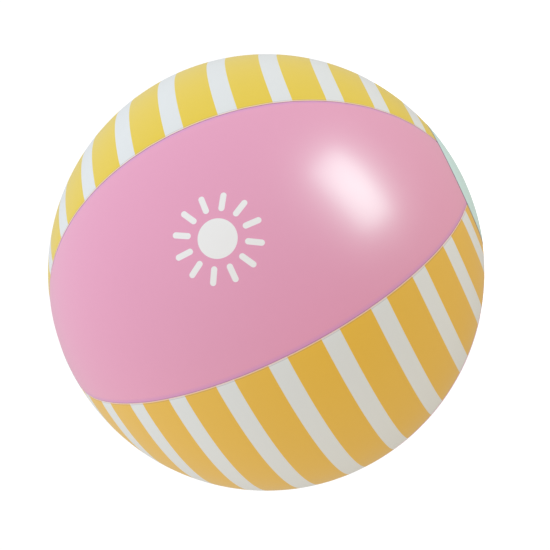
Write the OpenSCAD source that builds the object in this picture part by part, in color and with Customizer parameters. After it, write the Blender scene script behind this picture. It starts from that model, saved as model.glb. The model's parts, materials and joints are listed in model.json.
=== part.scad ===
// Inflatable beach ball, inflated, in millimetres.
// The origin is the ball's centre. +Z runs out of the end disc that carries the valve, -Z out of the plain end disc,
// and the first panel is centred on -Y. The valve is pushed in, as it is when the ball is in use.

/* [Ball] */
// Diameter over the two end discs, blown up
ball_d = 400; // [300:10:500]
// Thickness of the vinyl film
film_t = 0.25; // [0.2:0.05:0.35]
// Diameter of each round end disc, straight across its edge
disc_d = 121; // [100:1:140]
// How far an end disc laps over the ends of the panels
disc_lap_w = 4.5; // [3:0.5:6]
// How far a panel's tongue laps under the next panel, at the ball's widest
seam_lap_w = 3; // [2:0.5:5]
// Width of the bond between a tongue and its own panel, at the ball's widest
seam_bond_w = 1.5; // [1:0.5:3]

/* [Valve seat] */
// Diameter of the hole in the valve's end disc
film_hole_d = 25; // [24:0.5:28]
// Outer diameter of the flange welded under the film
flange_d = 34; // [30:0.5:40]
// Thickness of the flange
flange_t = 0.8; // [0.6:0.1:1.2]
// Diameter of the opening inside the flange
pocket_d = 20.4; // [20:0.2:21]
// Wall of the flexible skirt
skirt_t = 0.5; // [0.3:0.1:0.7]
// Depth of the skirt below the flange, equal to its height above the flange when the stem is out
skirt_depth = 6.5; // [6:0.5:7]

/* [Valve stem] */
// Outer diameter of the stem
stem_d = 9.2; // [9:0.1:9.4]
// Diameter of the mouth that the plug closes
seat_d = 6.8; // [6.6:0.1:6.8]
// Diameter of the throat that a pump nozzle enters
throat_d = 6; // [5.5:0.1:6]
// Length of the stem
stem_len = 13.5; // [13:0.5:16]
// Length of the wider mouth above the throat
seat_len = 5; // [5:0.25:6]

/* [Plug] */
// Diameter of the plug's head
head_d = 10.4; // [10:0.1:10.4]
// Thickness of the plug's head
head_t = 2; // [1.9:0.1:2]
// Length of the plug's nub, without its rounded-off tip
nub_len = 4; // [3:0.25:4]
// Diameter of the nub at its small end
nub_tip_d = 4.9; // [4:0.1:4.9]
// Reach of the pull tab from the valve's axis
tab_reach = 8.6; // [7.5:0.1:9]
// Width of the strap and of the pull tab
strap_w = 3.4; // [3:0.1:4]
// Thickness of the strap
strap_t = 0.9; // [0.7:0.1:1]

/* [Check flap] */
// Diameter of the flap
flap_d = 7.8; // [7.4:0.1:8]
// Thickness of the flap
flap_t = 0.5; // [0.4:0.1:0.6]

/* [Hidden] */
$fn = 96;

ball_r = ball_d / 2;
arc_steps = 720;                  // facets of the ball's own circles, whose walls are thin
panel_r = ball_r - film_t;        // outer radius of the panels, which lie under the end discs
panel_step = 60;                  // longitude that each of the six panels covers
front_longitude = -90;            // middle of the first panel
disc_edge = asin(disc_d / ball_d); // polar angle of an end disc's edge
panel_edge = disc_edge - disc_lap_w / ball_r * 180 / PI;

pocket_r = pocket_d / 2;
collar_w = 1.2;                   // width of the flange's collar, which stands in the hole in the film
collar_h = 2.2;                   // depth of the collar's underside below the ball's pole
collar_r = pocket_r + collar_w;
film_hole_r = film_hole_d / 2;
rim_z = ball_r - head_t;          // top of the stem, so that the plug's head is level with the ball's pole
collar_z = ball_r - collar_h;
skirt_foot_z = collar_z - skirt_depth;
stem_foot_z = rim_z - stem_len;
ring_w = 0.6;                     // how far the stem's two rings stand out from it
ring_t = 1.1;                     // height of a ring
ring_r = stem_d / 2 + ring_w;
part_gap = 0.02;                  // left between faces of different bodies that touch
hinge_x = 6.6;                    // centre of the strap's bend, which the plug turns about
bend_r = 1;                       // inside radius of the strap's bend
flap_hinge_x = -4.1;              // where the flap bends
flap_hinge_w = 3;                 // width of the flap at its hinge, and of the lug beside it
lug_x = -4.4;                     // face of the lug towards the flap
lug_w = 1;
lug_h = 2;
lug_drop = 0.8;                   // how far the lug reaches below the stem
tab_t = 1.2;                      // thickness of the pull tab
tab_lift = 0.2;                   // gap left under the pull tab for a fingernail
chamfer = 0.5;                    // on the plug's head and on the tip of its nub
cut = 5;                          // how far cutting shapes run past what they cut

pink = [0.87, 0.62, 0.73];
teal = [0.73, 0.86, 0.85];
yellow = [0.92, 0.83, 0.4];
clear_vinyl = [0.9, 0.93, 0.93];

// Half of a ring between two polar angles, which may lie either side of the equator
module ring_arc(outer_r, inner_r, from_deg, to_deg) {
    far = outer_r * 1.2;
    intersection() {
        difference() {
            circle(r = outer_r, $fn = arc_steps);
            circle(r = inner_r, $fn = arc_steps);
        }
        polygon([
            [0, 0],
            [far * sin(from_deg), far * cos(from_deg)],
            [far * 1.5, far * cos(from_deg)],
            [far * 1.5, far * cos(to_deg)],
            [far * sin(to_deg), far * cos(to_deg)]
        ]);
    }
}

// The strip of film along a panel's later edge that reaches under the next panel
module tongue() {
    bond = seam_bond_w / panel_r * 180 / PI;
    lap = seam_lap_w / panel_r * 180 / PI;
    rotate([0, 0, panel_step / 2 - bond])
        rotate_extrude(angle = bond + lap)
            ring_arc(panel_r - film_t, panel_r - 2 * film_t, panel_edge, 180 - panel_edge);
}

// One lens-shaped panel with its ends cut off, its middle turned to the given longitude
module panel(longitude) {
    rotate([0, 0, longitude])
        union() {
            rotate([0, 0, -panel_step / 2])
                rotate_extrude(angle = panel_step)
                    ring_arc(panel_r, panel_r - film_t, panel_edge, 180 - panel_edge);
            tongue();
        }
}

module panel_pink_front() {
    color(pink) panel(front_longitude);
}

module panel_striped_right() {
    color(yellow) panel(front_longitude + panel_step);
}

module panel_teal() {
    color(teal) panel(front_longitude + 2 * panel_step);
}

module panel_striped_back() {
    color(yellow) panel(front_longitude + 3 * panel_step);
}

module panel_pink_back() {
    color(pink) panel(front_longitude + 4 * panel_step);
}

module panel_striped_left() {
    color(yellow) panel(front_longitude + 5 * panel_step);
}

module valve_disc() {
    color(teal)
        rotate_extrude()
            ring_arc(ball_r, panel_r, asin(film_hole_r / ball_r), disc_edge);
}

module plain_disc() {
    color(teal)
        mirror([0, 0, 1])
            rotate_extrude()
                ring_arc(ball_r, panel_r, 0, disc_edge);
}

// Flange under the film, with a collar that stands up in the hole and hangs down to carry the skirt
module valve_flange() {
    flange_inner_r = panel_r - flange_t;
    color(clear_vinyl)
        rotate_extrude()
            union() {
                ring_arc(panel_r, flange_inner_r, asin(pocket_r / panel_r), asin(flange_d / 2 / panel_r));
                intersection() {
                    circle(r = ball_r, $fn = arc_steps);
                    translate([pocket_r, collar_z])
                        square([collar_r - pocket_r, ball_r]);
                }
            }
}

// Cone between the flange and the stem, which turns inside out when the stem is pulled
module valve_skirt() {
    color(clear_vinyl)
        rotate_extrude()
            polygon([
                [pocket_r, collar_z],
                [collar_r, collar_z],
                [collar_r, collar_z - skirt_t],
                [pocket_r + skirt_t, collar_z - skirt_t],
                [ring_r + part_gap + skirt_t, skirt_foot_z - skirt_t],
                [ring_r + part_gap, skirt_foot_z - skirt_t],
                [ring_r + part_gap, skirt_foot_z]
            ]);
}

module valve_stem() {
    seat_foot_z = rim_z - seat_len;
    strap_ring_z = rim_z - bend_r - ring_t;
    skirt_ring_z = skirt_foot_z - ring_t / 2 - skirt_t / 2;
    color(clear_vinyl)
        difference() {
            union() {
                translate([0, 0, stem_foot_z])
                    cylinder(h = stem_len, d = stem_d);
                translate([0, 0, strap_ring_z])
                    cylinder(h = ring_t, r = ring_r);
                translate([0, 0, skirt_ring_z])
                    cylinder(h = ring_t, r = ring_r);
                // lug beside the flap's hinge
                translate([lug_x - lug_w, -flap_hinge_w / 2, stem_foot_z - lug_drop])
                    cube([lug_w, flap_hinge_w, lug_h]);
            }
            translate([0, 0, stem_foot_z - cut])
                cylinder(h = stem_len + cut, d = throat_d);
            translate([0, 0, seat_foot_z])
                cylinder(h = seat_len + cut, d = seat_d);
        }
}

// Ribbon that keeps the plug on the stem, bent double while the plug is in
module plug_strap() {
    outer_bend_r = bend_r + strap_t;
    color(clear_vinyl)
        difference() {
            translate([hinge_x, strap_w / 2, rim_z])
                rotate([90, 0, 0])
                    linear_extrude(strap_w)
                        union() {
                            intersection() {
                                difference() {
                                    circle(r = outer_bend_r);
                                    circle(r = bend_r);
                                }
                                translate([0, -cut])
                                    square([cut, 2 * cut]);
                            }
                            translate([-hinge_x / 2, -outer_bend_r])
                                square([hinge_x / 2, strap_t]);
                            translate([-hinge_x / 2, bend_r])
                                square([hinge_x / 2, strap_t]);
                        }
            translate([0, 0, rim_z - cut])
                cylinder(h = 2 * cut, r = ring_r + part_gap);
        }
}

module valve_plug() {
    tab_end_x = tab_reach - strap_w / 2;
    nub_top_r = seat_d / 2 - part_gap;
    color(clear_vinyl)
        union() {
            translate([0, 0, rim_z])
                rotate_extrude()
                    polygon([
                        [0, head_t],
                        [head_d / 2 - 2 * chamfer, head_t],
                        [head_d / 2, head_t - chamfer],
                        [head_d / 2, 0],
                        [nub_top_r, 0],
                        [nub_tip_d / 2, -nub_len],
                        [nub_tip_d / 2 - chamfer, -nub_len - chamfer],
                        [0, -nub_len - chamfer]
                    ]);
            // pull tab on the side away from the strap
            translate([-tab_end_x, 0, rim_z + tab_lift])
                union() {
                    cylinder(h = tab_t, d = strap_w);
                    translate([0, -strap_w / 2, 0])
                        cube([tab_end_x, strap_w, tab_t]);
                }
        }
}

module check_flap() {
    color(clear_vinyl)
        translate([0, 0, stem_foot_z - part_gap - flap_t])
            union() {
                cylinder(h = flap_t, d = flap_d);
                translate([flap_hinge_x, -flap_hinge_w / 2, 0])
                    cube([-flap_hinge_x, flap_hinge_w, flap_t]);
            }
}

panel_pink_front();
panel_striped_right();
panel_teal();
panel_striped_back();
panel_pink_back();
panel_striped_left();
valve_disc();
plain_disc();
valve_flange();
valve_skirt();
valve_stem();
plug_strap();
valve_plug();
check_flap();
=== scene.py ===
import json
import math

import bpy
from mathutils import Matrix, Quaternion, Vector


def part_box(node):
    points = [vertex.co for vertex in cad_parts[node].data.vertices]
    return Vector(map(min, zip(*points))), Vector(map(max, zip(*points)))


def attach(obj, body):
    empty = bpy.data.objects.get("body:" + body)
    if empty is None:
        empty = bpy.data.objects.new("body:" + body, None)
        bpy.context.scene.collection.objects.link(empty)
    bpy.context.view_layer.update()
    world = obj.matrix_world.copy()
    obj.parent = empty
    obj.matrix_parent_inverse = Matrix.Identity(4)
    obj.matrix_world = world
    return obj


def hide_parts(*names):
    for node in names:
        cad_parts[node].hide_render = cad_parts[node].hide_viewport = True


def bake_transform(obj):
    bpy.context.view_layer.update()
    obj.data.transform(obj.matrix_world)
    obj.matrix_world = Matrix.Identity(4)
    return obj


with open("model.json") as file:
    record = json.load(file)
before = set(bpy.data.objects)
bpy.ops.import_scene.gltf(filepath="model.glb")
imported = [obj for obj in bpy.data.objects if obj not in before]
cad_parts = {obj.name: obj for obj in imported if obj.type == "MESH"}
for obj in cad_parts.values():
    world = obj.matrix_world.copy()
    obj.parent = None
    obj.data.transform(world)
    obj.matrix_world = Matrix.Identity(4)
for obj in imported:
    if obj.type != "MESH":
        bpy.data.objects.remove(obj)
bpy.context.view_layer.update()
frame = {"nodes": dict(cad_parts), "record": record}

mm = 0.001
ballRadius = -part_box("plain_disc")[0].z
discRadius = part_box("plain_disc")[1].x  # of an end disc, straight across its edge
filmThickness = 0.25 * mm
panelRadius = ballRadius - filmThickness  # the discs lie over the panels' ends
panelTurn = math.radians(60)
print("frame loaded, ball", round(2 * ballRadius, 4), "m across")


def clearSelection():
    if bpy.context.object and bpy.context.object.mode != "OBJECT":
        bpy.ops.object.mode_set(mode="OBJECT")
    bpy.ops.object.select_all(action="DESELECT")


def pick(piece):
    clearSelection()
    piece.select_set(True)
    bpy.context.view_layer.objects.active = piece


def takePrimitive(name):
    piece = bpy.context.object
    piece.name = name
    piece.data.name = name
    bpy.ops.object.transform_apply(location=True, rotation=True, scale=True)
    return piece


def modify(piece, kind, **settings):  # adds a modifier and applies it at once
    pick(piece)
    modifier = piece.modifiers.new(kind.lower(), kind)
    for name, value in settings.items():
        setattr(modifier, name, value)
    bpy.ops.object.modifier_apply(modifier=modifier.name)


def paintWeights(piece, name, weightAt):  # a vertex group that follows a rule of the vertex's place
    group = piece.vertex_groups.new(name=name)
    for vertex in piece.data.vertices:
        group.add([vertex.index], min(1.0, max(0.0, weightAt(vertex.co))), "REPLACE")


def fall(distance, start, end):  # 1 up to start, 0 from end on, smooth between
    share = min(1.0, max(0.0, (distance - start) / (end - start)))
    return 1 - share * share * (3 - 2 * share)


def smoothShade(piece, angle=35):
    pick(piece)
    bpy.ops.object.shade_smooth_by_angle(angle=math.radians(angle))


def finishFilm(piece):  # wall of the film, grown inwards from the modelled face
    modify(piece, "SOLIDIFY", thickness=filmThickness, offset=-1, use_even_offset=True)
    piece.vertex_groups.clear()
    smoothShade(piece)


def copyTurned(piece, name, angle):
    twin = piece.copy()
    twin.data = piece.data.copy()
    twin.name = name
    twin.data.name = name
    bpy.context.scene.collection.objects.link(twin)
    twin.data.transform(Matrix.Rotation(angle, 4, "Z"))
    return twin


def meridian(name, radius, points, trims):  # half of a wire circle in the XZ plane, trimmed at heights
    clearSelection()
    bpy.ops.mesh.primitive_circle_add(vertices=points, radius=radius, rotation=(math.pi / 2, 0, 0))
    piece = takePrimitive(name)
    bpy.ops.object.mode_set(mode="EDIT")
    bpy.ops.mesh.select_all(action="SELECT")
    bpy.ops.mesh.bisect(plane_co=(0, 0, 0), plane_no=(1, 0, 0), clear_inner=True)
    for height, side in trims:
        bpy.ops.mesh.select_all(action="SELECT")
        bpy.ops.mesh.bisect(plane_co=(0, 0, height), plane_no=(0, 0, side), clear_outer=True)
    bpy.ops.mesh.select_all(action="SELECT")
    return piece


def turn(angle, steps):  # carries the selected wire round the ball's axis
    bpy.ops.mesh.spin(steps=steps, angle=angle, center=(0, 0, 0), axis=(0, 0, -1))


def faceOutwards():
    bpy.ops.mesh.select_all(action="SELECT")
    bpy.ops.mesh.remove_doubles(threshold=0.001 * mm)
    bpy.ops.mesh.normals_make_consistent(inside=False)
    bpy.ops.object.mode_set(mode="OBJECT")


def axisDistance(place):
    return math.hypot(place.x, place.y)


panelShape = {
    "firstStart": math.radians(-120),  # longitude where the front pink panel starts
    "meridianPoints": 600,
    "columns": [(0.4, 2), (0.8, 3), (2.4, 4), (7, 5)],  # mm at the equator and steps, from a seam inwards
    "middleSteps": 22,
    "lap": 3.0,            # mm that the tongue reaches under the next panel
    "lapSteps": 4,
    "joggle": 0.27,        # mm that the tongue lies lower
    "joggleFrom": 1.3,     # mm from the seam where the film starts down
    "joggleTo": 0.25,
    "dip": 0.3,            # mm that a seam lies below the panels' own curve
    "dipReach": 7.0,
    "gathers": 0.16,       # mm height of the gathers along a seam
    "gathersReach": 11.0,
    "gatherWaves": 54,     # along each radian of a seam
    "gatherDrift": (2.1, 9),    # how far the waves bunch up, and how often
    "gatherSwell": (0.4, 13),   # how much their height varies, and how often
    "discLap": 4.5,        # mm that a panel reaches under an end disc
    "endFade": 14.0,       # mm over which seams flatten out before an end disc
}


def modelPanel():
    shape = panelShape
    edgePolar = math.asin(discRadius / ballRadius) - shape["discLap"] * mm / ballRadius
    trimHeight = panelRadius * math.cos(edgePolar)
    trims = [(trimHeight, 1), (-trimHeight, -1)]
    panel = meridian("panelMaster", panelRadius, shape["meridianPoints"], trims)
    edge = [(width * mm / panelRadius, steps) for width, steps in shape["columns"]]
    middle = panelTurn - 2 * sum(angle for angle, steps in edge)
    for angle, steps in edge + [(middle, shape["middleSteps"])] + edge[::-1]:
        turn(angle, steps)
    turn(shape["lap"] * mm / panelRadius, shape["lapSteps"])
    faceOutwards()

    def polarOf(place):
        return math.atan2(axisDistance(place), place.z)

    def laterSeam(place):  # metres to the seam that the tongue starts at, and negative on the tongue
        return axisDistance(place) * (panelTurn - math.atan2(place.y, place.x))

    def nearerSeam(place):
        return min(axisDistance(place) * abs(math.atan2(place.y, place.x)), abs(laterSeam(place)))

    def endShare(place):
        polar = polarOf(place)
        fromEnd = ballRadius * (min(polar, math.pi - polar) - edgePolar)
        return 1 - fall(fromEnd, shape["discLap"] * mm, (shape["discLap"] + shape["endFade"]) * mm)

    def dip(place):
        return fall(nearerSeam(place), 0, shape["dipReach"] * mm) * endShare(place)

    def gathers(place):
        polar = polarOf(place)
        drift, driftWaves = shape["gatherDrift"]
        swell, swellWaves = shape["gatherSwell"]
        wave = math.sin(shape["gatherWaves"] * polar + drift * math.sin(driftWaves * polar))
        wave *= 1 - swell + swell * math.sin(swellWaves * polar + 1)
        near = fall(nearerSeam(place), 0, shape["gathersReach"] * mm)
        return near * endShare(place) * (0.5 + 0.5 * wave)

    def joggle(place):
        return fall(laterSeam(place), shape["joggleTo"] * mm, shape["joggleFrom"] * mm)

    lowered = {"dip": dip, "gathers": gathers, "joggle": joggle}
    for name, weightAt in lowered.items():
        paintWeights(panel, name, weightAt)
    for name in lowered:
        modify(panel, "DISPLACE", vertex_group=name, strength=-shape[name] * mm, mid_level=0)
    finishFilm(panel)
    return panel


panelNodes = [node for node in frame["record"]["behaviour"]["bodies"]["ball"] if node.startswith("panel_")]
panelMaster = modelPanel()
panelPieces = {}
for index, node in enumerate(panelNodes):
    panelPieces[node] = copyTurned(panelMaster, "film_" + node, panelShape["firstStart"] + index * panelTurn)
bpy.data.objects.remove(panelMaster)
print("panels modelled")

discShape = {
    "meridianPoints": 900,
    "steps": 240,
    "rimWeld": (3.9, 0.5),       # mm from the edge where the pressed band starts, and where it ends
    "rimDepth": 0.07,
    "holeRadius": 12.5,
    "flangeWeld": (13.2, 16.6),  # mm from the axis
    "flangeDepth": 0.12,
    "pressWidth": 0.35,          # mm over which a pressed band goes down
}


def pressBand(disc, name, start, end, depth):  # a ring pressed into the disc by the welding tool
    press = discShape["pressWidth"] * mm

    def weightAt(place):
        radius = axisDistance(place)
        return (1 - fall(radius, start, start + press)) * fall(radius, end - press, end)

    paintWeights(disc, name, weightAt)
    modify(disc, "DISPLACE", vertex_group=name, strength=-depth * mm, mid_level=0)


def modelDisc(name, side, holed):
    shape = discShape
    edgeHeight = ballRadius * math.cos(math.asin(discRadius / ballRadius))
    trims = [(side * edgeHeight, -side)]
    if holed:
        trims.append((side * math.sqrt(ballRadius ** 2 - (shape["holeRadius"] * mm) ** 2), side))
    disc = meridian(name, ballRadius, shape["meridianPoints"], trims)
    turn(2 * math.pi, shape["steps"])
    faceOutwards()
    outer, inner = shape["rimWeld"]
    pressBand(disc, "rimWeld", discRadius - outer * mm, discRadius - inner * mm, shape["rimDepth"])
    if holed:
        start, end = shape["flangeWeld"]
        pressBand(disc, "flangeWeld", start * mm, end * mm, shape["flangeDepth"])
    finishFilm(disc)
    return disc


discPieces = {
    "valve_disc": modelDisc("film_valve_disc", 1, True),
    "plain_disc": modelDisc("film_plain_disc", -1, False),
}
print("end discs modelled")

valve = {               # what its pieces share, mm, with heights above the ball's centre
    "rim": 198.0,       # the stem's top
    "pocket": 10.2,     # radius of the opening in the flange
    "collar": 11.4,
    "collarFoot": 197.8,
    "skirtDepth": 6.5,
    "skirtWall": 0.5,
    "stem": 4.6,        # radius outside
    "ring": 5.2,        # radius of the rings round the stem
    "mouth": 3.4,
    "throat": 3.0,
    "strapWidth": 3.4,
}


def turned(name, rings, sides=96, capped=False):  # rings of (radius, height) in mm, extruded one by one
    clearSelection()
    radius, height = rings[0]
    bpy.ops.mesh.primitive_circle_add(vertices=sides, radius=radius * mm, location=(0, 0, height * mm))
    piece = takePrimitive(name)
    bpy.ops.object.mode_set(mode="EDIT")
    bpy.ops.mesh.select_all(action="SELECT")
    if capped:
        bpy.ops.mesh.edge_face_add()
        bpy.ops.mesh.poke()
        bpy.ops.mesh.select_all(action="DESELECT")
        bpy.ops.mesh.select_mode(type="EDGE")
        bpy.ops.mesh.select_non_manifold()
    for (oldRadius, oldHeight), (radius, height) in zip(rings, rings[1:]):
        bpy.ops.mesh.extrude_edges_move(TRANSFORM_OT_translate={"value": (0, 0, (height - oldHeight) * mm)})
        wider = radius / oldRadius
        bpy.ops.transform.resize(value=(wider, wider, 1), center_override=(0, 0, 0))
    if capped:
        bpy.ops.mesh.edge_face_add()
        bpy.ops.mesh.poke()
    else:
        bpy.ops.mesh.select_all(action="DESELECT")
        bpy.ops.mesh.select_mode(type="EDGE")
        bpy.ops.mesh.select_non_manifold()
        bpy.ops.mesh.bridge_edge_loops()
    faceOutwards()
    return piece


def roundOff(piece, width):
    limit = math.radians(28)
    modify(piece, "BEVEL", width=width * mm, segments=3, limit_method="ANGLE", angle_limit=limit)
    smoothShade(piece)


def weldOn(piece, other):  # one closed solid of the two
    modify(piece, "BOOLEAN", operation="UNION", object=other, solver="EXACT")
    bpy.data.objects.remove(other)


def sphereHeight(radius, sphere=panelRadius):  # mm at which a sphere is so wide
    return math.sqrt((sphere / mm) ** 2 - radius ** 2)


flangeShape = {"edge": 17.0, "thickness": 0.8, "round": 0.16, "sides": 160}


def modelFlange():
    inner, collar, outer = valve["pocket"], valve["collar"], flangeShape["edge"]
    thickness = flangeShape["thickness"]
    middle = (collar + outer) / 2
    flange = turned("valveFlange", [
        (inner, valve["collarFoot"]),
        (inner, sphereHeight(inner, ballRadius)),
        (collar, sphereHeight(collar, ballRadius)),
        (collar, sphereHeight(collar)),
        (middle, sphereHeight(middle)),
        (outer, sphereHeight(outer)),
        (outer, sphereHeight(outer) - thickness),
        (middle, sphereHeight(middle) - thickness),
        (collar, sphereHeight(collar) - thickness),
        (collar, valve["collarFoot"])], sides=flangeShape["sides"])
    roundOff(flange, flangeShape["round"])
    return flange


skirtShape = {"steps": 20, "slack": 0.02, "sides": 160, "smoothAngle": 50}


def modelSkirt():  # hangs from the collar in an S down to the stem's lower ring
    top, depth, wall = valve["collarFoot"], valve["skirtDepth"], valve["skirtWall"]
    outer, inner = valve["pocket"], valve["ring"] + skirtShape["slack"]
    steps = skirtShape["steps"]

    def radiusAt(share):
        return outer - (outer - inner) * (1 - math.cos(math.pi * share)) / 2

    shares = [step / steps for step in range(steps + 1)]
    upper = [(radiusAt(share), top - depth * share) for share in shares]
    lower = [(radiusAt(share) + wall, top - depth * share) for share in shares[-2:1:-1]]
    foot = [(inner, top - depth - wall), (inner + wall, top - depth - wall)]
    rim = [(outer + wall, top - wall), (valve["collar"], top - wall), (valve["collar"], top)]
    skirt = turned("valveSkirt", upper + foot + lower + rim, sides=skirtShape["sides"])
    smoothShade(skirt, skirtShape["smoothAngle"])
    return skirt


stemShape = {
    "length": 13.5,
    "mouthDepth": 5.0,
    "ringHeight": 1.1,
    "ringDrop": 1.0,          # of the upper ring, from the stem's top
    "round": 0.14,
    "lug": (1.0, 3.0, 2.0),   # beside the flap's hinge
    "lugFace": 4.4,           # from the axis
    "lugRound": 0.2,
}


def modelStem():
    shape = stemShape
    rim, foot = valve["rim"], valve["rim"] - shape["length"]
    stem, ring, tall = valve["stem"], valve["ring"], shape["ringHeight"]
    upperRing = rim - shape["ringDrop"] - tall
    lowerRing = valve["collarFoot"] - valve["skirtDepth"] - (tall + valve["skirtWall"]) / 2
    seat = rim - shape["mouthDepth"]
    piece = turned("valveStem", [
        (valve["throat"], foot), (stem, foot),
        (stem, lowerRing), (ring, lowerRing), (ring, lowerRing + tall), (stem, lowerRing + tall),
        (stem, upperRing), (ring, upperRing), (ring, upperRing + tall), (stem, upperRing + tall),
        (stem, rim), (valve["mouth"], rim), (valve["mouth"], seat), (valve["throat"], seat)])
    roundOff(piece, shape["round"])
    clearSelection()
    lugSize = Vector(shape["lug"]) * mm
    lugPlace = (-shape["lugFace"] * mm - lugSize.x / 2, 0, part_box("valve_stem")[0].z + lugSize.z / 2)
    bpy.ops.mesh.primitive_cube_add(size=1, location=lugPlace, scale=lugSize)
    lug = takePrimitive("lug")
    roundOff(lug, shape["lugRound"])
    weldOn(piece, lug)
    return piece


strapShape = {
    "bendX": 6.6,        # centre of the bend
    "bend": 1.45,        # radius, to the middle of the strap's thickness
    "squeeze": 0.69,     # the bend is taller than it is deep
    "thickness": 0.7,
    "root": 0.7,         # mm that it reaches into the stem's ring
    "straightSteps": 3,
    "bendSteps": 24,
    "round": 0.2,
    "reach": 2.0,
}


def modelStrap():
    shape = strapShape
    bendX, bend, thickness = shape["bendX"] * mm, shape["bend"] * mm, shape["thickness"] * mm
    rim, steps = valve["rim"] * mm, shape["straightSteps"]
    start = (valve["ring"] - shape["root"]) * mm
    end = (start, 0, rim - bend)
    clearSelection()
    bpy.ops.mesh.primitive_plane_add(size=1, location=end, rotation=(0, math.pi / 2, 0))
    strap = takePrimitive("plugStrap")
    bpy.ops.object.mode_set(mode="EDIT")
    bpy.ops.mesh.select_all(action="SELECT")
    bpy.ops.transform.resize(value=(1, valve["strapWidth"] * mm, thickness), center_override=end)
    onwards = (bendX - start) / steps
    for step in range(steps):
        bpy.ops.mesh.extrude_region_move(TRANSFORM_OT_translate={"value": (onwards, 0, 0)})
    bpy.ops.mesh.spin(steps=shape["bendSteps"], angle=math.pi, center=(bendX, 0, rim), axis=(0, 1, 0))
    for step in range(steps):
        bpy.ops.mesh.extrude_region_move(TRANSFORM_OT_translate={"value": (-onwards, 0, 0)})
    faceOutwards()
    for vertex in strap.data.vertices:
        if vertex.co.x > bendX:
            vertex.co.x = bendX + (vertex.co.x - bendX) * shape["squeeze"]
    roundOff(strap, shape["round"])
    return strap


plugShape = {
    "round": 0.12,
    "tabEnd": 6.9,         # centre of the pull tab's round end, from the axis
    "tabRoot": 4.5,
    "tabThickness": 1.2,
    "tabLift": 0.2,        # above the stem's top
    "tabRound": 0.3,
    "ridges": 3,
    "ridgeFrom": 0.9,      # of the first ridge, beyond the tab's centre
    "ridgeStep": 0.8,
    "ridgeRadius": 0.22,
    "ridgeLength": 2.2,
    "ridgeRound": 0.08,
}


def modelTab():
    shape = plugShape
    end, thickness = shape["tabEnd"] * mm, shape["tabThickness"] * mm
    halfWidth = valve["strapWidth"] / 2 * mm
    level = (valve["rim"] + shape["tabLift"]) * mm + thickness / 2
    clearSelection()
    bpy.ops.mesh.primitive_cylinder_add(vertices=48, radius=halfWidth, depth=thickness,
                                        location=(-end, 0, level))
    tab = takePrimitive("pullTab")
    for vertex in tab.data.vertices:
        if vertex.co.x > -end + 0.01 * mm:
            vertex.co.x = -shape["tabRoot"] * mm
            vertex.co.y = math.copysign(halfWidth, vertex.co.y)
    roundOff(tab, shape["tabRound"])
    for bar in range(shape["ridges"]):
        away = (shape["ridgeFrom"] - shape["ridgeStep"] * bar) * mm
        clearSelection()
        bpy.ops.mesh.primitive_cylinder_add(
            vertices=24, radius=shape["ridgeRadius"] * mm, depth=shape["ridgeLength"] * mm,
            rotation=(math.pi / 2, 0, 0), location=(-end - away, 0, level + thickness / 2))
        ridge = takePrimitive("ridge")
        roundOff(ridge, shape["ridgeRound"])
        weldOn(tab, ridge)
    return tab


def modelPlug():
    rim, head = valve["rim"], ballRadius / mm
    plug = turned("valvePlug", [
        (0.5, head - 0.3), (0.8, head - 0.26), (1.25, head - 0.02), (3.4, head - 0.02), (4.4, head - 0.12),
        (5.0, head - 0.45), (5.2, head - 0.9), (5.2, rim), (valve["mouth"] - 0.02, rim), (2.45, rim - 4),
        (1.95, rim - 4.5), (0.8, rim - 4.5)], capped=True)
    roundOff(plug, plugShape["round"])
    weldOn(plug, modelTab())
    smoothShade(plug)
    return plug


valvePieces = {
    "valve_flange": modelFlange(),
    "valve_skirt": modelSkirt(),
    "valve_stem": modelStem(),
    "plug_strap": modelStrap(),
    "valve_plug": modelPlug(),
}
print("valve modelled")


class Signal:  # one number that varies over a surface, which sums can be written on
    def __init__(self, finish, socket):
        self.finish = finish
        self.socket = socket

    def __add__(self, other):
        return self.finish.maths("ADD", self, other)

    def __radd__(self, other):
        return self.finish.maths("ADD", other, self)

    def __sub__(self, other):
        return self.finish.maths("SUBTRACT", self, other)

    def __rsub__(self, other):
        return self.finish.maths("SUBTRACT", other, self)

    def __mul__(self, other):
        return self.finish.maths("MULTIPLY", self, other)

    def __rmul__(self, other):
        return self.finish.maths("MULTIPLY", other, self)

    def __truediv__(self, other):
        return self.finish.maths("DIVIDE", self, other)

    def __rtruediv__(self, other):
        return self.finish.maths("DIVIDE", other, self)

    def __abs__(self):
        return self.finish.maths("ABSOLUTE", self)


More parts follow.
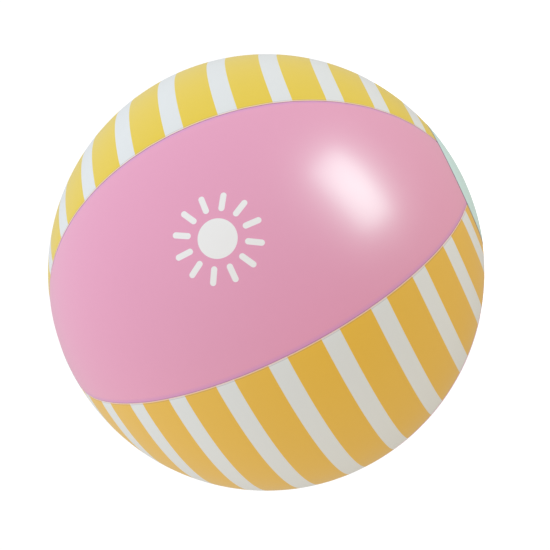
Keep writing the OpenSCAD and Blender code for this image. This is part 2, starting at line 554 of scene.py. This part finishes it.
class Finish:  # a node tree being made
    def __init__(self, tree):
        self.tree = tree
        tree.nodes.clear()

    def add(self, kind, settings=None, inputs=None):
        node = self.tree.nodes.new("ShaderNode" + kind)
        for name, value in (settings or {}).items():
            setattr(node, name, value)
        for name, value in (inputs or {}).items():
            value = getattr(value, "socket", value)
            if isinstance(value, bpy.types.NodeSocket):
                self.tree.links.new(value, node.inputs[name])
            else:
                node.inputs[name].default_value = value
        return node

    def signal(self, kind, settings=None, inputs=None, output=0):
        return Signal(self, self.add(kind, settings, inputs).outputs[output])

    def maths(self, operation, *values):
        return self.signal("Math", {"operation": operation}, dict(enumerate(values)))

    def largest(self, first, second):
        return self.maths("MAXIMUM", first, second)

    def fall(self, distance, start, end):  # 1 up to start, 0 from end on
        return self.signal("MapRange", {"interpolation_type": "SMOOTHSTEP"},
                           {"Value": distance, "From Min": start, "From Max": end, "To Min": 1, "To Max": 0})

    def mix(self, share, first, second):
        return self.add("Mix", {"data_type": "RGBA"}, {"Factor": share, 6: first, 7: second}).outputs[2]

    def scaled(self, tint, share):  # a colour made lighter or darker
        if isinstance(tint, tuple):
            tint = tint[:3]
        return self.add("VectorMath", {"operation": "SCALE"}, {0: tint, "Scale": share}).outputs[0]

    def noise(self, place, scale, amount, detail=2):  # patches of the given size, up and down from 0
        patches = self.signal("TexNoise", {}, {"Vector": place, "Scale": scale, "Detail": detail})
        return (patches - 0.5) * amount


def startFinish(name):
    material = bpy.data.materials.new(name)
    material.use_nodes = True
    finish = Finish(material.node_tree)
    return material, finish, finish.add("TexCoord").outputs["Object"]


def colour(red, green, blue):
    return (red, green, blue, 1)


filmColours = {
    "pink": colour(0.83, 0.352, 0.55),
    "lemon": colour(0.83, 0.61, 0.02),
    # the lemon film's yellow painted darker and more orange: painted shade for the striped panel on the
    # ball's shaded side
    "shadedYellow": colour(0.85, 0.51, 0.05),
    "white": colour(0.77, 0.80, 0.82),
    "teal": colour(0.61, 0.86, 0.87),
    # painted shade along seams, disc edges and their corners, partly the weld lines themselves
    "seamLineShade": colour(0.20, 0.09, 0.17),
    # painted purple shade along a seam on the plain film, partly the lap showing through
    "seamTintShade": colour(0.66, 0.29, 0.64),
    # painted highlight on the lap's cut edge, partly the film's unprinted margin
    "seamGlintHighlight": colour(0.93, 0.66, 0.60),
    "ink": colour(0.90, 0.90, 0.92),
}
stripes = {
    "pitch": math.radians(13.02),
    "halfWhite": math.radians(2.3),
    "soft": math.radians(0.06),
    "lemonStart": math.radians(0.5),   # the middle of a white band from the ball's equator
    "shadedYellowStart": math.radians(1.45),
}
filmGrain = {                          # noise scale and amount
    "toneCloud": (9, 0.035),
    "toneGrain": (160, 0.012),
    "roughCloud": (35, 0.05),
    "roughGrain": (1400, 0.03, 1),
    "peelWide": (60, 0.02 * mm),
    "peelFine": (420, 0.006 * mm),
}
filmGloss = {"roughness": 0.40, "ior": 1.53, "coat": 0.3, "coatRoughness": 0.25}
seamMarks = {                          # mm where a mark starts to fade, mm where it ends, and its strength; the dark marks are painted shade along seams and disc edges, partly weld lines
    "glintHighlight": (0.8, 1.2, 0.75),         # striped film: painted highlight on the lap's edge, partly its unprinted margin
    # painted shade: a faint dark line 1.6 mm in from a seam on the striped film
    "creaseShade": (0.1, 0.5, 0.3),
    "tint": (0.5, 5.0, 0.65),          # plain film: painted shade along the seam, partly the lap showing through
    # painted shade at the lap's edge on the plain film, partly the weld line
    "line": (0.35, 0.75, 0.5),
    "shadeUnderDisc": (0.4, 1.1, 0.85),     # every panel, along an end disc: painted shade under the disc's edge, partly its weld line
    # painted shade where a seam meets an end disc
    "corner": (0.7, 1.3, 0.9),
    # painted shade at the disc's own edge, partly its weld line
    "discEdgeShade": (0.15, 0.6, 0.7),
}
creaseAway = 1.6 * mm
sunPrint = {"height": -4.5, "core": 15.5, "rays": 12, "rayFrom": 23.5, "rayTo": 33.5, "rayHalfWidth": 2.4,
            "soft": 0.1}


def filmPlaces(finish, place):  # where a point of the film lies on the ball
    parts = finish.add("SeparateXYZ", {}, {0: place})
    x, y, z = (Signal(finish, parts.outputs[axis]) for axis in range(3))
    fromAxis = finish.maths("SQRT", x * x + y * y)
    sector = finish.maths("ARCTAN2", y, x) / panelTurn
    return {
        "x": x,
        "z": z,
        "polar": finish.maths("ARCTAN2", fromAxis, z),
        "seam": fromAxis * finish.maths("PINGPONG", sector, 0.5) * panelTurn,  # metres to the nearest seam
        "rim": fromAxis - discRadius,                                          # metres outside a disc's edge
    }


def plainPaint(tint):
    return lambda finish, where: tint


def stripedPaint(tint, start):
    def paint(finish, where):
        bands = (where["polar"] - math.pi / 2 - start) / stripes["pitch"]
        fromWhite = finish.maths("PINGPONG", bands, 0.5) * stripes["pitch"]
        edge, soft = stripes["halfWhite"], stripes["soft"]
        return finish.mix(finish.fall(fromWhite, edge - soft, edge + soft), tint, filmColours["white"])
    return paint


def sunMask(finish, where):
    shape = sunPrint
    across = where["x"]
    up = where["z"] - shape["height"] * mm
    radius = finish.maths("SQRT", across * across + up * up)
    wedge = 2 * math.pi / shape["rays"]
    fold = finish.maths("PINGPONG", finish.maths("ARCTAN2", up, across) / wedge, 0.5) * wedge
    along = radius * finish.maths("COSINE", fold)
    aside = radius * finish.maths("SINE", fold)
    beyond = finish.largest(finish.largest(shape["rayFrom"] * mm - along, along - shape["rayTo"] * mm), 0)
    ray = finish.maths("SQRT", beyond * beyond + aside * aside) - shape["rayHalfWidth"] * mm
    core = radius - shape["core"] * mm
    return finish.fall(finish.maths("MINIMUM", ray, core), -shape["soft"] * mm, shape["soft"] * mm)


def seamMark(finish, distance, name):
    start, end, strength = seamMarks[name]
    return finish.fall(distance, start * mm, end * mm) * strength


def filmMaterial(name, paint, marks, printed=None):
    material, finish, place = startFinish(name)
    where = filmPlaces(finish, place)

    def grain(kind):
        return finish.noise(place, *filmGrain[kind])

    base = paint(finish, where)
    if printed:
        base = finish.mix(printed(finish, where), base, filmColours["ink"])
    base = finish.scaled(base, 1 + grain("toneCloud") + grain("toneGrain"))
    base = marks(finish, where, base)
    peel = grain("peelWide") + grain("peelFine")
    bump = finish.add("Bump", {}, {"Strength": 1, "Distance": 1, "Height": peel})
    shader = finish.add("BsdfPrincipled", {}, {
        "Base Color": base, "Roughness": filmGloss["roughness"] + grain("roughCloud") + grain("roughGrain"),
        "IOR": filmGloss["ior"], "Coat Weight": filmGloss["coat"],
        "Coat Roughness": filmGloss["coatRoughness"], "Normal": bump.outputs[0]})
    finish.add("OutputMaterial", {}, {"Surface": shader.outputs[0]})
    return material


# darkens the film along seams, end discs and their corners: painted shade, partly weld lines
def seamShadeLines(finish, where, base, line):
    corner = finish.maths("SQRT", where["seam"] * where["seam"] + where["rim"] * where["rim"])
    line = finish.largest(line, seamMark(finish, where["rim"], "shadeUnderDisc"))
    line = finish.largest(line, seamMark(finish, corner, "corner"))
    return finish.mix(line, base, filmColours["seamLineShade"])


def stripedMarks(finish, where, base):
    # painted highlight along the lap's edge, partly its unprinted margin
    base = finish.mix(seamMark(finish, where["seam"], "glintHighlight"), base, filmColours["seamGlintHighlight"])
    return seamShadeLines(finish, where, base, seamMark(finish, abs(where["seam"] - creaseAway), "creaseShade"))


def plainMarks(finish, where, base):
    # painted shade along the seam, partly the lap showing through the film
    base = finish.mix(seamMark(finish, where["seam"], "tint"), base, filmColours["seamTintShade"])
    return seamShadeLines(finish, where, base, seamMark(finish, where["seam"], "line"))


def discMarks(finish, where, base):
    # painted shade at the disc's edge, partly its weld line
    return finish.mix(seamMark(finish, abs(where["rim"]), "discEdgeShade"), base, filmColours["seamLineShade"])


pinkPaint = plainPaint(filmColours["pink"])
tealPaint = plainPaint(filmColours["teal"])
lemonPaint = stripedPaint(filmColours["lemon"], stripes["lemonStart"])
# the yellow here is painted darker and warmer as painted shade
shadedYellowPaint = stripedPaint(filmColours["shadedYellow"], stripes["shadedYellowStart"])
pinkFilm = filmMaterial("pinkFilm", pinkPaint, plainMarks)
lemonFilm = filmMaterial("lemonStripedFilm", lemonPaint, stripedMarks)
discFilm = filmMaterial("tealDiscFilm", tealPaint, discMarks)
filmUse = {
    "panel_pink_front": (filmMaterial("pinkFilmPrinted", pinkPaint, plainMarks, sunMask), "pink_film"),
    "panel_striped_right": (lemonFilm, "striped_film"),
    "panel_teal": (filmMaterial("tealFilm", tealPaint, plainMarks), "teal_film"),
    "panel_striped_back": (lemonFilm, "striped_film"),
    "panel_pink_back": (pinkFilm, "pink_film"),
    # this panel's darker, warmer yellow is painted shade
    "panel_striped_left": (filmMaterial("shadedYellowStripedFilm", shadedYellowPaint, stripedMarks), "striped_film"),
    "valve_disc": (discFilm, "teal_film"),
    "plain_disc": (discFilm, "teal_film"),
}
filmPieces = {**panelPieces, **discPieces}
for node, piece in filmPieces.items():
    material, slot = filmUse[node]
    piece.data.materials.clear()
    piece.data.materials.append(material)
    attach(piece, "ball")
    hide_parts(node)
print("film finished")

vinyl = {
    "clear": colour(0.80, 0.86, 0.87),
    "clearRoughness": 0.28,
    "skirt": colour(0.74, 0.81, 0.83),
    "skirtRoughness": 0.34,
    "toneCloud": (260, 0.08),
    "roughCloud": (300, 0.06),
    "unevenness": (350, 0.002 * mm),
    "milk": 0.6,              # how much light goes into it
    "milkDepth": 1.2 * mm,
}


def vinylMaterial(name, tint, roughness):  # milky moulded vinyl
    material, finish, place = startFinish(name)
    base = finish.scaled(tint, finish.noise(place, *vinyl["toneCloud"]) + 1)
    bump = finish.add("Bump", {}, {
        "Strength": 1, "Distance": 1, "Height": finish.noise(place, *vinyl["unevenness"])})
    shader = finish.add("BsdfPrincipled", {}, {
        "Base Color": base, "Roughness": roughness + finish.noise(place, *vinyl["roughCloud"]), "IOR": 1.53,
        "Subsurface Weight": vinyl["milk"], "Subsurface Radius": (1, 1, 1),
        "Subsurface Scale": vinyl["milkDepth"], "Coat Weight": 0.3, "Coat Roughness": 0.1,
        "Normal": bump.outputs[0]})
    finish.add("OutputMaterial", {}, {"Surface": shader.outputs[0]})
    return material


clearVinyl = vinylMaterial("clearVinyl", vinyl["clear"], vinyl["clearRoughness"])
skirtVinyl = vinylMaterial("skirtVinyl", vinyl["skirt"], vinyl["skirtRoughness"])
valveRides = {"valve_flange": "ball", "valve_stem": "stem", "valve_plug": "plug"}
for node, piece in valvePieces.items():
    piece.data.materials.clear()
    piece.data.materials.append(skirtVinyl if node == "valve_skirt" else clearVinyl)
    if node in valveRides:
        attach(piece, valveRides[node])
    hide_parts(node)

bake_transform(valvePieces["valve_skirt"])
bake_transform(valvePieces["plug_strap"])
flap = frame["nodes"]["check_flap"]
flap.data.materials.clear()
flap.data.materials.append(clearVinyl)
print("valve finished")

camera = {
    "azimuth": math.radians(-11.2),
    "elevation": math.radians(-7.9),
    "roll": math.radians(-115.13),
    "away": 5,                     # ball radii
    "lens": 70.1,
    "shift": (0.0158, -0.0047),
}


def makeCamera():
    azimuth, elevation = camera["azimuth"], camera["elevation"]
    level = math.cos(elevation)
    back = Vector((math.sin(azimuth) * level, -math.cos(azimuth) * level, math.sin(elevation)))
    facing = (-back).to_track_quat("-Z", "Y") @ Quaternion((0, 0, 1), camera["roll"])
    bpy.ops.object.camera_add(location=back * camera["away"] * ballRadius)
    holder = bpy.context.object
    holder.rotation_mode = "QUATERNION"
    holder.rotation_quaternion = facing
    holder.data.lens = camera["lens"]
    holder.data.shift_x, holder.data.shift_y = camera["shift"]
    holder.data.clip_start = 0.01
    holder.data.clip_end = 100
    bpy.context.scene.camera = holder
    return facing


cameraTurn = makeCamera()

studio = {                             # directions are right, up and back of the camera
    "fill": 1.08,
    "lean": (0.05, -0.02, 0.04),       # which way the fill light grows
    "shade": 1.0,                      # how much darker the room is behind the camera, to its lower right
    "shadeWay": (0.47, -0.40, 0.79),
    "gloss": 0.72,                     # what the film mirrors
    "glossLean": (-0.40, 0.18, 0.30),
    "cool": colour(0.95, 1.0, 1.05),
    "warm": colour(1.11, 1.0, 0.82),
    "warmWay": (0.75, -0.55, 0.0),
    "backdrop": 1.05,
    "boxWay": (0.608, 0.585, 0.56),
    "boxLong": (0.63, -0.78, 0.0),
    "boxSize": (0.40, 0.66),
    "boxAway": 1.1,
    "boxPower": 12.5,
    "boxTint": (0.60, 1.0, 0.88),
    "unlit": ("panel_striped_left", "panel_pink_back", "panel_striped_back"),
    "floorDrop": 0.9,
    "floorSize": 60,
}


def makeWorld():
    world = bpy.data.worlds.new("studio")
    bpy.context.scene.world = world
    world.use_nodes = True
    finish = Finish(world.node_tree)
    way = finish.add("TexCoord").outputs["Generated"]

    def growth(name):
        inRow = cameraTurn @ Vector(studio[name])
        return finish.signal("VectorMath", {"operation": "DOT_PRODUCT"}, {0: way, 1: inRow}, "Value")

    light = finish.mix(growth("warmWay") * 0.6 + 0.5, studio["cool"], studio["warm"])
    toShade = finish.largest(growth("shadeWay"), 0)
    toShade = toShade * toShade
    fill = (1 + growth("lean") - toShade * toShade * studio["shade"]) * studio["fill"]
    gloss = (1 + growth("glossLean")) * studio["gloss"]
    path = finish.add("LightPath").outputs

    def shine(tint, strength):
        return finish.add("Background", {}, {"Color": tint, "Strength": strength}).outputs[0]

    def choose(ray, others, own):
        return finish.add("MixShader", {}, {0: path[ray], 1: others, 2: own}).outputs[0]

    lit = choose("Is Glossy Ray", shine(light, fill), shine(light, gloss))
    seen = choose("Is Camera Ray", lit, shine(colour(1, 1, 1), studio["backdrop"]))
    finish.add("OutputWorld", {}, {"Surface": seen})


def makeSoftbox():
    way = (cameraTurn @ Vector(studio["boxWay"])).normalized()
    long = (cameraTurn @ Vector(studio["boxLong"])).normalized()
    long = (long - long.dot(way) * way).normalized()
    bpy.ops.object.light_add(type="AREA", location=way * studio["boxAway"])
    softbox = bpy.context.object
    softbox.name = "softbox"
    softbox.data.shape = "RECTANGLE"
    softbox.data.size, softbox.data.size_y = studio["boxSize"]
    softbox.data.energy = studio["boxPower"]
    softbox.data.color = studio["boxTint"]
    softbox.rotation_mode = "QUATERNION"
    softbox.rotation_quaternion = Matrix((long.cross(way), long, way)).transposed().to_quaternion()
    softbox.visible_diffuse = False
    softbox.visible_camera = False
    lit = bpy.data.collections.new("litBySoftbox")  # not the panels turned away, whose rim it would burn out
    for node, piece in filmPieces.items():
        if node not in studio["unlit"]:
            lit.objects.link(piece)
    softbox.light_linking.receiver_collection = lit


def makeFloor():
    bpy.ops.mesh.primitive_plane_add(size=studio["floorSize"], location=(0, 0, -studio["floorDrop"]))
    floor = bpy.context.object
    floor.name = "floor"
    material = bpy.data.materials.new("paleFloor")
    material.use_nodes = True
    finish = Finish(material.node_tree)
    shader = finish.add("BsdfPrincipled", {}, {
        "Base Color": colour(0.9, 0.9, 0.9), "Roughness": 0.8,
        "Emission Color": colour(1, 1, 1), "Emission Strength": 0.35})
    finish.add("OutputMaterial", {}, {"Surface": shader.outputs[0]})
    floor.data.materials.append(material)
    floor.visible_diffuse = False
    floor.visible_glossy = False
    floor.visible_shadow = False  # the softbox lies lower than it


makeWorld()
makeSoftbox()
makeFloor()
bpy.context.scene.view_settings.view_transform = "Standard"
print("studio ready")
